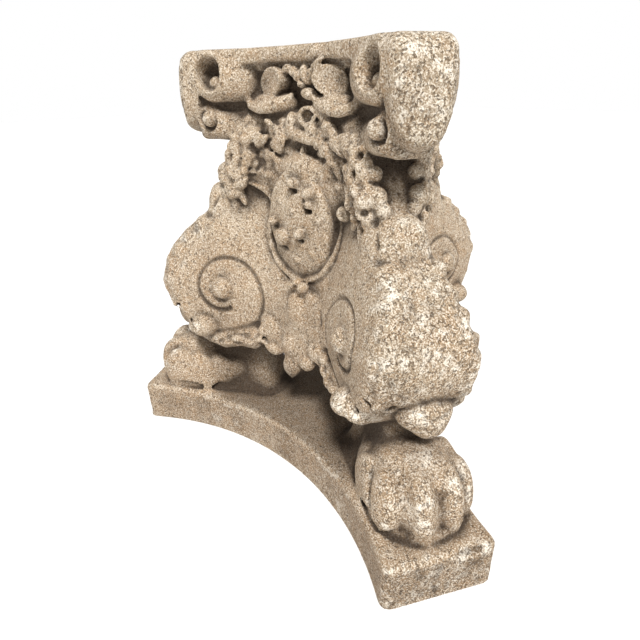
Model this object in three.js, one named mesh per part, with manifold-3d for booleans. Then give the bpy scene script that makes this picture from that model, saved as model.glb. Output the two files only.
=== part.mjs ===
// A cast stone tripod pedestal, cast in one piece: a three-armed plate with hollowed sides, three scroll
// legs on lion paws, and a three-cornered top with hollowed sides, paired scrolls and a shield on each face.
// Millimetres, +Z up. The origin is on the underside, on the pedestal's axis, and one face looks along -Y.
import * as THREE from "three";
import { mergeVertices } from "three/addons/utils/BufferGeometryUtils.js";
import Module from "manifold-3d";

const wasm = await Module();
wasm.setup();

// Driving dimensions
const HEIGHT = 500;
const SIDES = 3;

// Plate: an arm under each leg, with a hollow side between two arms
const PLATE = { reach: 300, endWidth: 125, waist: 124, thickness: 58, round: 8 };

// Top slab: the same plan, smaller, with the waist of each side close to the body
const SLAB = { reach: 192, endWidth: 64, waist: 77, thickness: 23, round: 4 };

// Body: the three-sided shaft that the legs grow from, open beneath
const BODY = { reach: 110, endWidth: 44, waist: 60, bottom: 148 };

// Corner of the top: a tapering end plate, with two rolled scrolls one above the other on each side of it
const END_PLATE = {
  reach: 201, depth: 26, topHalf: 32, midHalf: 27, lowHalf: 14, mid: 442, low: 411, round: 9, lean: 6,
};
const UPPER_ROLL = { r: 160, z: 473, radius: 22, half: 32, strapDepth: 17, strapEnd: [82, -70] };
const LOWER_ROLL = { r: 164, z: 427, radius: 16, half: 24, strapDepth: 13, strapEnd: [88, -70] };
const CORNER_WEB = { inner: 80, half: 20 };
const EYE = 0.45;

// Leg: three lengths of a scrolled console, each as distance from the axis and height along its middle plane.
// The shoulder narrows from the drum to the neck, and the long edges are rounded.
const DRUM_OUTLINE = [
  [0, 146], [104, 146], [150, 138], [190, 140], [224, 159], [242, 188], [248, 217], [243, 250], [0, 250],
];
const SHOULDER_OUTLINE = [
  [0, 202], [230, 202], [246, 232], [230, 270], [206, 296], [186, 314], [181, 350], [150, 372], [0, 372],
];
const NECK_OUTLINE = [[0, 320], [180, 320], [176, 351], [141, 386], [127, 402], [120, 446], [0, 446]];
const LEG_WIDTH = { lowHalf: 59, low: 228, topHalf: 26, top: 350 };
const LEG_ROUND = { inset: 24, share: 0.45 };
const DRUM = { r: 152, z: 221 };
const SPIRAL = { start: 58, end: 23, from: 215, sweep: 325, groove: 3.5, steps: 11 };
const BOSS = { r: 156, z: 228, radius: 13, rise: 8 };
const LEAF_TIP = { r: 236, z: 178, along: 14, half: 29, tall: 24 };

// Foot: an ankle wall under the leg, and a paw with a heel pad, three toes and a toe on each flank
const ANKLE = { inner: 98, outer: 214, half: 38 };
const PAW = { r: 224, z: 86, long: 50, half: 53, tall: 58 };
const HEEL = { r: 182, z: 80, long: 34, half: 54, tall: 32 };
const TOES = { count: 3, r: 266, z: 84, long: 30, half: 20, tall: 38, spread: 33 };

// Face: a shield on a strapwork frame, with a hood over it, a leaf drop under it and a swag on each side,
// all on a flat field between the necks of two legs
const SHIELD = { z: 328, half: 33, tall: 52, y: -72, bulge: 18 };
const FRAME = { z: 320, half: 47, tall: 70, y: -66, bulge: 17 };
const SHIELD_BOSSES = [[-12, 366], [9, 346], [-14, 310], [7, 312]];
const SHIELD_BOSS_RADIUS = 8;
const HOOD = { z: 408, half: 30, tall: 24, y: -62, bulge: 19 };
const CUP = { x: 50, z: 461, half: 35, tall: 24, y: -60, depth: 22, lip: 7 };
const CREST = { z: 474, half: 14, tall: 14 };
const CURL = { x: 48, z: 342, radius: 11, half: 13 };
const DROP = { top: 250, low: 128, topHalf: 18, half: 60, wide: 180, topY: -91, lowY: -105, thickness: 40 };
const FIELD = { low: 326, high: 452, half: 78, y: -72, thickness: 30 };
const SWAG = { start: [76, -70, 432], middle: [92, -80, 390], end: [112, -88, 332], fruits: 5, radius: 18 };

// Facets round a rounded form, and from its top to its bottom
const ROUND = 6;
const RISE = 4;

const STONE = { color: 0xb3a48c, roughness: 0.95, metalness: 0 };

const radians = THREE.MathUtils.degToRad;
const mix = THREE.MathUtils.lerp;

// Solids from geometry

// A closed geometry as a solid. Triangles that collapse when shared corners merge are left out.
function solid(geometry) {
  const bare = new THREE.BufferGeometry();
  bare.setAttribute("position", (geometry.index ? geometry.toNonIndexed() : geometry).attributes.position);
  const merged = mergeVertices(bare, 1e-3);
  const corners = merged.index.array;
  const kept = [];
  for (let i = 0; i < corners.length; i += 3) {
    const [a, b, c] = corners.subarray(i, i + 3);
    if (a !== b && b !== c && c !== a) kept.push(a, b, c);
  }
  const vertProperties = merged.attributes.position.array;
  return new wasm.Manifold(new wasm.Mesh({ numProp: 3, vertProperties, triVerts: new Uint32Array(kept) }));
}

function join(solids) {
  return solids.reduce((sum, next) => sum.add(next));
}

function turned(solid, degrees) {
  return solid.rotate([0, 0, degrees]);
}

// An ellipsoid with the given half sizes along X, Y and Z.
function ellipsoid(x, y, z, halfX, halfY, halfZ, round = ROUND, rise = RISE) {
  const geometry = new THREE.SphereGeometry(1, round, rise);
  geometry.rotateX(Math.PI / 2).scale(halfX, halfY, halfZ).translate(x, y, z);
  return solid(geometry);
}

// A roll lying along Y.
function roll(x, z, radius, half, round) {
  return solid(new THREE.CylinderGeometry(radius, radius, 2 * half, round).translate(x, 0, z));
}

function extruded(shape, depth, round, bevelSegments, curveSegments = 5) {
  return new THREE.ExtrudeGeometry(shape, {
    depth: depth - 2 * round,
    bevelThickness: round,
    bevelSize: round,
    bevelOffset: -round,
    bevelSegments,
    curveSegments,
  }).translate(0, 0, round);
}

function outline(points) {
  return new THREE.Shape(points.map(([x, y]) => new THREE.Vector2(x, y)));
}

// A geometry with each of its points moved by a function of that point.
function reshaped(geometry, move) {
  const places = geometry.attributes.position;
  const point = new THREE.Vector3();
  for (let i = 0; i < places.count; i++) {
    move(point.fromBufferAttribute(places, i));
    places.setXYZ(i, point.x, point.y, point.z);
  }
  return geometry;
}

// Plan of a three-armed plate: straight ends joined by hollow arcs that come in to the waist.
function hollowSidedPlan({ reach, endWidth, waist }) {
  const half = endWidth / 2;
  const turn = (2 * Math.PI) / SIDES;
  const chordHalf = reach * Math.sin(turn / 2) - half * Math.cos(turn / 2);
  const chordDistance = reach * Math.cos(turn / 2) + half * Math.sin(turn / 2);
  const sag = chordDistance - waist;
  const radius = (chordHalf ** 2 + sag ** 2) / (2 * sag);
  const halfAngle = Math.asin(chordHalf / radius);
  const shape = new THREE.Shape();
  for (let side = 0; side < SIDES; side++) {
    const normal = -Math.PI / 2 + side * turn;
    const back = normal + Math.PI;
    const x = (waist + radius) * Math.cos(normal);
    const y = (waist + radius) * Math.sin(normal);
    shape.absarc(x, y, radius, back + halfAngle, back - halfAngle, true);
  }
  return shape;
}

function hollowSidedSlab(plan, low, high, round, bevelSegments) {
  return solid(extruded(hollowSidedPlan(plan), high - low, round, bevelSegments).translate(0, 0, low));
}

// Corner of the top, in a frame whose +X runs out along the arm

function endPlate() {
  const { reach, depth, topHalf, midHalf, lowHalf, mid, low, round, lean } = END_PLATE;
  const left = [[-topHalf, HEIGHT], [-midHalf, mid], [-lowHalf, low]];
  const right = [[lowHalf, low], [midHalf, mid], [topHalf, HEIGHT]];
  const shape = outline([...left, ...right]);
  const outwards = new THREE.Matrix4().makeBasis(
    new THREE.Vector3(0, 1, 0),
    new THREE.Vector3(0, 0, 1),
    new THREE.Vector3(1, 0, 0),
  );
  const geometry = extruded(shape, depth, round, 2).applyMatrix4(outwards);
  return solid(reshaped(geometry, (point) => {
    point.x += reach - depth + mix(lean, -lean, (point.z - low) / (HEIGHT - low));
  }));
}

function cornerWeb() {
  const { inner, half } = CORNER_WEB;
  const outer = END_PLATE.reach - END_PLATE.depth / 2;
  const high = HEIGHT - 8;
  const shape = outline([[inner, 390], [140, 400], [outer, LOWER_ROLL.z - 10], [outer, high], [inner, high]]);
  const geometry = extruded(shape, 2 * half, 0, 0);
  return solid(geometry.translate(0, 0, -half).rotateX(Math.PI / 2));
}

function rolledScroll({ r, z, radius, half }) {
  const hollow = radius * EYE;
  const eyes = [-half, half].map((y) => ellipsoid(r, y, z, hollow, hollow, hollow, 5, 3));
  return roll(r, z, radius, half, 9).subtract(join(eyes));
}

// Leg, in the same frame

// A length of the console, as wide as the given function of height says.
function legLength(points, halfWidth) {
  const { share } = LEG_ROUND;
  const inset = LEG_ROUND.inset * (halfWidth(LEG_WIDTH.low) / LEG_WIDTH.lowHalf);
  const geometry = new THREE.ExtrudeGeometry(outline(points), {
    depth: 2 * (1 - share),
    bevelThickness: share,
    bevelSize: inset,
    bevelOffset: -inset,
    bevelSegments: 1,
  });
  geometry.translate(0, 0, share - 1).rotateX(Math.PI / 2);
  return solid(reshaped(geometry, (point) => {
    point.y *= halfWidth(point.z);
  }));
}

// Half of the leg's width at a height, on its flat side.
function legHalf(z) {
  const { lowHalf, low, topHalf, top } = LEG_WIDTH;
  return mix(lowHalf, topHalf, Math.max(0, (z - low) / (top - low)));
}

function legBody() {
  const drum = legLength(DRUM_OUTLINE, () => LEG_WIDTH.lowHalf);
  const shoulder = legLength(SHOULDER_OUTLINE, legHalf);
  const neck = legLength(NECK_OUTLINE, () => LEG_WIDTH.topHalf);
  return join([drum, shoulder, neck]).subtract(join([spiralGroove(-1), spiralGroove(1)]));
}

class SpiralLine extends THREE.Curve {
  constructor(side) {
    super();
    this.side = side;
  }

  getPoint(share, target = new THREE.Vector3()) {
    const angle = radians(SPIRAL.from - SPIRAL.sweep * share);
    const radius = mix(SPIRAL.start, SPIRAL.end, share);
    const z = DRUM.z + radius * Math.sin(angle);
    return target.set(DRUM.r + radius * Math.cos(angle), this.side * legHalf(z), z);
  }
}

function spiralGroove(side) {
  const section = new THREE.Shape().absarc(0, 0, SPIRAL.groove, 0, 2 * Math.PI, false);
  const extrudePath = new SpiralLine(side);
  return solid(new THREE.ExtrudeGeometry(section, { steps: SPIRAL.steps, curveSegments: 2, extrudePath }));
}

function foot() {
  const low = PLATE.thickness - 8;
  const { inner, outer, half } = ANKLE;
  const wall = outline([[inner, low], [outer, low], [outer + 8, 112], [outer - 10, 160], [inner, 160]]);
  const forms = [solid(extruded(wall, 2 * half, 0, 0).translate(0, 0, -half).rotateX(Math.PI / 2))];
  forms.push(ellipsoid(PAW.r, 0, PAW.z, PAW.long, PAW.half, PAW.tall, 9, 5));
  forms.push(ellipsoid(HEEL.r, 0, HEEL.z, HEEL.long, HEEL.half, HEEL.tall, 8, 4));
  for (let i = 0; i < TOES.count; i++) {
    const place = i - (TOES.count - 1) / 2;
    const r = TOES.r - 9 * place ** 2;
    forms.push(ellipsoid(r, place * TOES.spread, TOES.z, TOES.long, TOES.half, TOES.tall, 7, 4));
  }
  const ground = new THREE.BoxGeometry(400, 300, 100).translate(200, 0, low - 50);
  return join(forms).subtract(solid(ground));
}

function leg() {
  const bosses = [-1, 1].map((side) => {
    const y = side * legHalf(BOSS.z);
    return ellipsoid(BOSS.r, y, BOSS.z, BOSS.radius, BOSS.rise, BOSS.radius, 6, 4);
  });
  const leafTip = ellipsoid(LEAF_TIP.r, 0, LEAF_TIP.z, LEAF_TIP.along, LEAF_TIP.half, LEAF_TIP.tall, 8, 4);
  const corner = [endPlate(), cornerWeb(), rolledScroll(UPPER_ROLL), rolledScroll(LOWER_ROLL)];
  return join([legBody(), ...bosses, leafTip, foot(), ...corner]);
}

// Face ornament, on the face that looks along -Y

function shield() {
  const frame = ellipsoid(0, FRAME.y, FRAME.z, FRAME.half, FRAME.bulge, FRAME.tall, 10, 4);
  const field = ellipsoid(0, SHIELD.y, SHIELD.z, SHIELD.half, SHIELD.bulge, SHIELD.tall, 8, 5);
  const bosses = SHIELD_BOSSES.map(([x, z]) => {
    const share = Math.hypot(x / SHIELD.half, (z - SHIELD.z) / SHIELD.tall);
    const y = SHIELD.y - SHIELD.bulge * Math.sqrt(1 - share ** 2);
    return ellipsoid(x, y, z, SHIELD_BOSS_RADIUS, SHIELD_BOSS_RADIUS, SHIELD_BOSS_RADIUS, 5, 3);
  });
  return join([frame, field, ...bosses]);
}

// One of the two leaf cups under the slab, open towards the front.
function cup() {
  const { x, z, half, tall, y, depth, lip } = CUP;
  const bowl = ellipsoid(x, y, z, half, depth, tall, 7, 4);
  const hollow = ellipsoid(x, y - depth * 0.8, z + lip, half - lip, depth * 0.75, tall - lip, 6, 4);
  return bowl.subtract(hollow);
}

// The strap of a rolled scroll, along the face from the roll towards the cup.
function strap({ r, z, radius, half, strapDepth, strapEnd }) {
  const turn = Math.PI / 6;
  const across = half - strapDepth;
  const outer = new THREE.Vector2(r, across).rotateAround(new THREE.Vector2(), turn);
  outer.y = -outer.y;
  const inner = new THREE.Vector2(...strapEnd);
  const along = new THREE.Vector2().subVectors(outer, inner);
  const geometry = new THREE.CylinderGeometry(1, 1, along.length(), 8).rotateZ(Math.PI / 2);
  geometry.scale(1, strapDepth, radius).rotateZ(along.angle());
  return solid(geometry.translate((outer.x + inner.x) / 2, (outer.y + inner.y) / 2, z));
}

function sideCurl() {
  return roll(0, 0, CURL.radius, CURL.half, 8).translate([CURL.x, FRAME.y - 6, CURL.z]);
}

// The leaf drop under the shield: it widens downwards and leans out, and ends in one tip between lobes.
function drop() {
  const { top, low, topHalf, half, wide, topY, lowY, thickness } = DROP;
  const left = [
    [-topHalf, top], [-0.72 * half, top - 26], [-half, wide], [-0.72 * half, wide - 30], [-18, low + 22],
  ];
  const tip = [[-12, low + 6], [-2, low], [8, low + 8]];
  const right = [
    [16, low + 22], [0.7 * half, wide - 26], [half, wide], [0.72 * half, top - 26], [topHalf, top],
  ];
  const geometry = extruded(outline([...left, ...tip, ...right]), thickness, 4, 1).rotateX(Math.PI / 2);
  return solid(reshaped(geometry, (point) => {
    point.y += thickness + mix(lowY, topY, (point.z - low) / (top - low));
  }));
}

// The field that the hood, the shield and the swags lie on.
function field() {
  const { low, high, half, y, thickness } = FIELD;
  const left = [[-0.72 * half, high], [-half, high - 20], [-half, low + 46], [-0.6 * half, low]];
  const right = [[0.6 * half, low], [half, low + 46], [half, high - 20], [0.72 * half, high]];
  const geometry = extruded(outline([...left, ...right]), thickness, 5, 1).rotateX(Math.PI / 2);
  return solid(geometry.translate(0, y + thickness, 0));
}

// A swag of fruit: a chain of lumps, fattest below the middle, hung along a bent line.
function swag() {
  const places = [SWAG.start, SWAG.middle, SWAG.end].map((place) => new THREE.Vector3(...place));
  const line = new THREE.QuadraticBezierCurve3(...places);
  const forms = [];
  for (let i = 0; i < SWAG.fruits; i++) {
    const share = i / (SWAG.fruits - 1);
    const size = SWAG.radius * (0.6 + 0.5 * Math.sin(Math.PI * share ** 1.2));
    const place = line.getPoint(share);
    const sway = 8 * (i % 2 ? 1 : -1);
    forms.push(ellipsoid(place.x + sway, place.y, place.z, size, size, size, 5, 3));
  }
  return join(forms);
}

function face() {
  const half = join([cup(), strap(UPPER_ROLL), strap(LOWER_ROLL), sideCurl(), swag()]);
  const hood = ellipsoid(0, HOOD.y, HOOD.z, HOOD.half, HOOD.bulge, HOOD.tall, 7, 4);
  const crest = ellipsoid(0, -66, CREST.z, CREST.half, 16, CREST.tall);
  const knot = ellipsoid(0, -78, DROP.top, 16, 14, 9, 6, 3);
  return join([field(), shield(), hood, crest, knot, drop(), half, half.mirror([1, 0, 0])]);
}

// Whole casting

function casting() {
  const forms = [
    hollowSidedSlab(PLATE, 0, PLATE.thickness, PLATE.round, 2),
    hollowSidedSlab(SLAB, HEIGHT - SLAB.thickness, HEIGHT, SLAB.round, 1),
    hollowSidedSlab(BODY, BODY.bottom, HEIGHT - SLAB.thickness / 2, 0, 0),
  ];
  const oneLeg = leg();
  const oneFace = face();
  for (let side = 0; side < SIDES; side++) {
    const turn = (side * 360) / SIDES;
    forms.push(turned(oneLeg, 90 + turn), turned(oneFace, turn));
  }
  return join(forms);
}

function geometryOf(made) {
  const { vertProperties, triVerts } = made.getMesh();
  const geometry = new THREE.BufferGeometry();
  geometry.setAttribute("position", new THREE.BufferAttribute(vertProperties, 3));
  geometry.setIndex(new THREE.BufferAttribute(triVerts, 1));
  geometry.computeVertexNormals();
  return geometry;
}

const pedestal = new THREE.Mesh(geometryOf(casting()), new THREE.MeshStandardMaterial(STONE));
pedestal.name = "cast_stone_pedestal";

const part = new THREE.Group();
part.add(pedestal);

export default part;
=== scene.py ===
import math

import bmesh
import bpy
import numpy as np
import openvdb
from mathutils import Matrix


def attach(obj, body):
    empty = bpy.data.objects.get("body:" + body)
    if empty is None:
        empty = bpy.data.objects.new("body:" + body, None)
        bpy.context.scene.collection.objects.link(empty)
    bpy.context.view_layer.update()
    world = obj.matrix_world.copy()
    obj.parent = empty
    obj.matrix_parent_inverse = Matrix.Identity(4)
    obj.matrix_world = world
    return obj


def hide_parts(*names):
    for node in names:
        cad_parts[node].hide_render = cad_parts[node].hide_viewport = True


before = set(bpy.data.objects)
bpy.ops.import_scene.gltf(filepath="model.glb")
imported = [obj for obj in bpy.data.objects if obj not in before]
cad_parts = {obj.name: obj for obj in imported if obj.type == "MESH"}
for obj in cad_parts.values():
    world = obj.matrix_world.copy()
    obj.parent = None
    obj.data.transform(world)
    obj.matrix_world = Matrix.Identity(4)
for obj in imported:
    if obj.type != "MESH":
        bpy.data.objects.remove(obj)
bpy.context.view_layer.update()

# Plate
# The pedestal stands on a three-armed plate with hollow sides, cast in one with all that stands on it.
# It is stone cast in a piece mould, so every form is added to one field of distances to the surface, or
# cut from it, in millimetres, and the stone is drawn out of that field once the last form is in.
CELL = 2.0
MOULD_START = np.array([-304.0, -216.0, -10.0])
MOULD_CELLS = (305, 265, 262)
OPEN_AIR = 30.0
BAND = 8.0
mould = np.full(MOULD_CELLS, OPEN_AIR, dtype=np.float32)
ARMS = (90, 210, 330)
FACES = (270, 30, 150)
MIDDLE = (90,)
ONE = (1,)


def blended(near, far, fillet):
    """The lower of two distances, with the crease between them filled."""
    if fillet <= 0:
        return np.minimum(near, far)
    share = np.maximum(fillet - np.abs(near - far), 0.0) / fillet
    return np.minimum(near, far) - share * share * fillet * 0.25


def rounded(wall, end, radius):
    """Distance to the body inside two walls, with the edge between them rounded."""
    a = wall + radius
    b = end + radius
    outside = np.hypot(np.maximum(a, 0.0), np.maximum(b, 0.0))
    return np.minimum(np.maximum(a, b), 0.0) + outside - radius


def cast(form, turns, fillet, sides=ONE, cut=False):
    """Adds a form to the mould, or cuts it out, at each turn about the middle and on one side or both.

    A form is its distance at points across, outwards and up, and the corners of the space it fills.
    """
    distance, low, high = form
    pad = fillet + BAND
    for turn in turns:
        out_x = math.cos(math.radians(turn))
        out_y = math.sin(math.radians(turn))
        for side in sides:
            corners = []
            for across in (low[0] - pad, high[0] + pad):
                for out in (low[1] - pad, high[1] + pad):
                    place = side * across
                    corners.append((out * out_x - place * out_y, out * out_y + place * out_x))
            corners = np.array(corners)
            least = np.array([*corners.min(axis=0), low[2] - pad])
            most = np.array([*corners.max(axis=0), high[2] + pad])
            first = np.floor((least - MOULD_START) / CELL).astype(int)
            last = np.ceil((most - MOULD_START) / CELL).astype(int) + 1
            first = np.clip(first, 0, mould.shape)
            last = np.clip(last, 0, mould.shape)
            x, y, z = (
                MOULD_START[k] + CELL * np.arange(first[k], last[k], dtype=np.float32)
                for k in range(3)
            )
            x = x[:, None, None]
            y = y[None, :, None]
            z = z[None, None, :]
            shape = distance(side * (y * out_x - x * out_y), x * out_x + y * out_y, z)
            part = mould[first[0]:last[0], first[1]:last[1], first[2]:last[2]]
            if cut:
                part[...] = -blended(-part, shape, fillet)
            else:
                part[...] = blended(part, shape, fillet)


def hollow_plan(x, y, reach, half, waist, corner):
    """Distance, seen from above, to a plan of three arms with hollow sides between them."""
    cos_30 = 0.8660
    end_across = reach * cos_30 - half * 0.5
    end_out = reach * 0.5 + half * cos_30
    rise = end_out - waist
    radius = (end_across ** 2 + rise ** 2) / (2 * rise)
    walls = []
    for turn in FACES:
        angle = math.radians(turn)
        out = x * math.cos(angle) + y * math.sin(angle)
        across = y * math.cos(angle) - x * math.sin(angle)
        walls.append(radius - np.hypot(across, out - waist - radius))
    for turn in ARMS:
        angle = math.radians(turn)
        walls.append(x * math.cos(angle) + y * math.sin(angle) - reach)
    plan = walls[0]
    for wall in walls[1:]:
        plan = -blended(-plan, -wall, corner)
    return plan


PLATE_TALL = 58.0


def plate(across, out, z):
    plan = hollow_plan(across, out, reach=299.8, half=62.4, waist=124.3, corner=14.0)
    return rounded(rounded(plan, z - PLATE_TALL, 7.0), -z, 3.0)


cast((plate, (-296, -210, 0), (296, 302, 60)), MIDDLE, 0.0)

# Ankles and paws
# Each leg comes down in a narrow ankle onto a lion's paw, modelled in clay before the mould was made.
# The four toes are blunt lumps parted by furrows, with a lobe on each side and one at each heel. A groove
# parts the paw from the plate.
BOTH = (1, -1)


def carve(form, turns, fillet, sides=ONE):
    """Cuts a form out of the mould."""
    cast(form, turns, fillet, sides, cut=True)


def ball(middle, radii, lean=0.0):
    """An egg about a middle, leaning in the plane of its face by an angle in degrees."""
    turn_cos = math.cos(math.radians(lean))
    turn_sin = math.sin(math.radians(lean))
    reach = max(radii[0], radii[2]) if lean else None

    def distance(across, out, z):
        side = across - middle[0]
        rise = z - middle[2]
        a = (side * turn_cos + rise * turn_sin) / radii[0]
        b = (out - middle[1]) / radii[1]
        c = (rise * turn_cos - side * turn_sin) / radii[2]
        near = np.sqrt(a * a + b * b + c * c) + 1e-6
        slope = np.sqrt((a / radii[0]) ** 2 + (b / radii[1]) ** 2 + (c / radii[2]) ** 2) + 1e-9
        return near * (near - 1.0) / slope

    spread = np.array([reach or radii[0], radii[1], reach or radii[2]])
    return distance, np.array(middle) - spread, np.array(middle) + spread


def rope(points, radii, tall=1.0):
    """A round bar along points, with a radius at each, and taller than deep by a factor."""
    points = np.array(points, dtype=float)
    radii = np.broadcast_to(np.array(radii, dtype=float), (len(points),))

    def distance(across, out, z):
        nearest = None
        for start, end, r0, r1 in zip(points[:-1], points[1:], radii[:-1], radii[1:]):
            way = end - start
            way_up = way[2] / tall
            a = across - start[0]
            b = out - start[1]
            c = (z - start[2]) / tall
            length = way[0] ** 2 + way[1] ** 2 + way_up ** 2
            share = np.clip((a * way[0] + b * way[1] + c * way_up) / length, 0.0, 1.0)
            gap = np.sqrt(
                (a - share * way[0]) ** 2 + (b - share * way[1]) ** 2 + (c - share * way_up) ** 2
            )
            gap = gap - (r0 + share * (r1 - r0))
            nearest = gap if nearest is None else np.minimum(nearest, gap)
        return nearest

    widest = radii.max() * max(tall, 1.0)
    return distance, points.min(axis=0) - widest, points.max(axis=0) + widest


def ankle(across, out, z):
    half = 25.0 + 13.0 * np.clip((106.0 - z) / 48.0, 0.0, 1.0) ** 2
    wall = rounded(np.abs(across) - half, np.abs(out - 154.0) - 58.0, 22.0)
    return np.maximum(wall, np.abs(z - 100.0) - 62.0)


cast((ankle, (-42, 94, 38), (42, 214, 162)), ARMS, 12.0)
cast(ball((0, 168, 80), (38, 28, 34)), ARMS, 8.0)
cast(ball((0, 219, 77), (51, 58, 58)), ARMS, 8.0)
for toe_across, toe_out, toe_z, toe_half, toe_deep, toe_tall in (
    (-39, 241, 82, 17, 28, 38),
    (-11, 254, 84, 19, 33, 45),
    (22, 251, 83, 18, 32, 43),
    (43, 239, 81, 14, 28, 37),
):
    cast(ball((toe_across, toe_out, toe_z), (toe_half, toe_deep, toe_tall)), ARMS, 7.0)
cast(ball((-1, 221, 62), (50, 62, 20)), ARMS, 4.0)
cast(ball((45, 208, 80), (10, 26, 36)), ARMS, 8.0, BOTH)
cast(ball((33, 184, 76), (13, 20, 30)), ARMS, 10.0, BOTH)
for furrow in (
    [(-22, 236, 131), (-26, 260, 119), (-28, 274, 100), (-29, 277, 66)],
    [(7, 247, 131), (6, 268, 121), (6, 283, 100), (6, 287, 66)],
    [(33, 240, 124), (35, 260, 110), (36, 270, 92), (36, 272, 66)],
    [(-45, 218, 118), (-51, 230, 104), (-54, 238, 86), (-54, 240, 66)],
):
    carve(rope(furrow, [1.8, 3.6, 4.4, 3.4]), ARMS, 5.0)
carve(rope([(-21, 285, 80), (-11, 289, 84), (0, 286, 80)], 1.4), ARMS, 3.0)
carve(rope([(13, 282, 80), (22, 285, 83), (31, 279, 80)], 1.4), ARMS, 3.0)
base_line = [
    (-37, 150, 64), (-42, 164, 64), (-48, 187, 64), (-51, 212, 64), (-54, 236, 64), (-51, 252, 64),
    (-40, 266, 64), (-26, 279, 64), (-8, 288, 64), (14, 286, 64), (33, 281, 64), (50, 268, 64),
    (56, 246, 64), (53, 212, 64), (48, 187, 64), (42, 164, 64), (37, 150, 64),
]
carve(rope(base_line, 2.2, 3.0), ARMS, 1.0)

# Legs
# Three console legs carry the body: a big scroll below, a leafed shoulder, and a neck with a turned-over
# lobe. Each is a flat-sided slab in the mould, tapering upwards, with the scroll's line cut in both sides.
# Under it hangs a cracked knob, and a leaf curls along its lower edges.
LEG_SIDE = [
    (60, 150), (104, 147), (135, 141), (165, 139), (193, 146), (215, 163), (231, 187), (240, 212),
    (242, 237), (234, 263), (215, 288), (196, 306), (180, 320), (172, 334), (162, 350), (153, 366),
    (141, 384), (129, 402), (122, 425), (120, 448), (60, 448),
]
LEG_HALF_AT = ([0.0, 228.0, 350.0, 600.0], [59.0, 59.0, 26.0, 26.0])
FACE_START = 4
FACE_END = 16
CURVE_STEPS = 6


def curved(points):
    """A smooth open line through points."""
    points = np.array(points, dtype=float)
    ends = np.vstack([2 * points[0] - points[1], points, 2 * points[-1] - points[-2]])
    line = []
    for k in range(1, len(ends) - 2):
        before, here, there, after = ends[k - 1:k + 3]
        for share in np.arange(CURVE_STEPS) / CURVE_STEPS:
            line.append(0.5 * (
                2 * here + (there - before) * share
                + (2 * before - 5 * here + 4 * there - after) * share ** 2
                + (3 * here - before - 3 * there + after) * share ** 3
            ))
    line.append(points[-1])
    return np.array(line)


def outline(points):
    """Distance to a closed flat outline, kept on a 1 mm lattice and read from it."""
    points = np.array(points, dtype=float)
    margin = 40.0
    start = np.floor(points.min(axis=0)) - margin
    count = (np.ceil(points.max(axis=0)) + margin - start).astype(int)
    a = start[0] + np.arange(count[0], dtype=float)[:, None]
    b = start[1] + np.arange(count[1], dtype=float)[None, :]
    gap = np.full((count[0], count[1]), 1e9)
    inside = np.zeros((count[0], count[1]), dtype=bool)
    for here, there in zip(points, np.roll(points, -1, axis=0)):
        way = there - here
        length = max(way @ way, 1e-9)
        share = np.clip(((a - here[0]) * way[0] + (b - here[1]) * way[1]) / length, 0.0, 1.0)
        gap = np.minimum(gap, np.hypot(a - here[0] - share * way[0], b - here[1] - share * way[1]))
        if way[1] != 0:
            crosses = (here[1] > b) != (there[1] > b)
            inside ^= crosses & (a < here[0] + (b - here[1]) * way[0] / way[1])
    table = np.where(inside, -gap, gap).astype(np.float32)

    def distance(first, second):
        first = np.clip(first - start[0], 0.0, count[0] - 2.001)
        second = np.clip(second - start[1], 0.0, count[1] - 2.001)
        i = first.astype(int)
        j = second.astype(int)
        u = first - i
        v = second - j
        low = table[i, j] * (1 - u) + table[i + 1, j] * u
        high = table[i, j + 1] * (1 - u) + table[i + 1, j + 1] * u
        return low * (1 - v) + high * v

    return distance


leg_line = curved(LEG_SIDE)
leg_side = outline(leg_line)
outer_line = leg_line[FACE_START * CURVE_STEPS:FACE_END * CURVE_STEPS + 1]
leg_reach_order = np.argsort(outer_line[:, 1])


def leg_half(z):
    return np.interp(z, *LEG_HALF_AT)


def leg_reach(z):
    """How far out the leg's outer face stands at a height."""
    return np.interp(z, outer_line[leg_reach_order, 1], outer_line[leg_reach_order, 0])


def leg(across, out, z):
    return rounded(leg_side(out, z), np.abs(across) - leg_half(z), 24.0)


cast((leg, (-60, 60, 136), (60, 250, 448)), ARMS, 8.0)


def leg_leaf(across, out, z):
    edge = leg_half(z) - 8.0 + 0.5 * np.sin(z / 3.3) + 1.0 * np.sin(z / 5.9 + 1.0)
    rise = 2.5 * np.clip((326.0 - z) / 50.0, 0.0, 1.0)
    face = rounded(leg_side(out, z) - rise, np.abs(across) - edge, 6.0)
    return np.maximum(np.maximum(face, 190.0 - z), np.maximum(z - 326.0, 150.0 - out))


cast((leg_leaf, (-60, 150, 190), (60, 248, 326)), ARMS, 3.0)
for height, size in ((231, 8), (250, 7), (268, 9), (287, 7), (304, 8)):
    lump = (leg_half(height) - 9.0, leg_reach(height) - size - 4.0, height)
    cast(ball(lump, (size * 0.95, size, size * 1.15)), ARMS, 5.0, BOTH)
edge_line = [(leg_half(z) + 0.5, leg_reach(z) - 26.0, z) for z in range(250, 334, 12)]
carve(rope(edge_line, 1.8), ARMS, 2.0, BOTH)

SCROLL_OUT = 152.0
SCROLL_UP = 221.0
SCROLL_STEPS = 44
scroll_line = []
for step in range(SCROLL_STEPS + 1):
    share = step / SCROLL_STEPS
    angle = math.radians(215 - 325 * share)
    radius = 58 - 35 * share
    height = SCROLL_UP + radius * math.sin(angle)
    scroll_line.append((leg_half(height) + 0.6, SCROLL_OUT + radius * math.cos(angle), height))
carve(rope(scroll_line, [3.2] * 30 + [3.8] * 15), ARMS, 1.0, BOTH)
cast(ball((55, 154, 226), (14, 15, 15)), ARMS, 3.0, BOTH)
carve(rope([(61, 139, 214), (62, 151, 208), (61, 165, 212)], [2.0, 3.6, 2.0]), ARMS, 3.0, BOTH)

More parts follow.
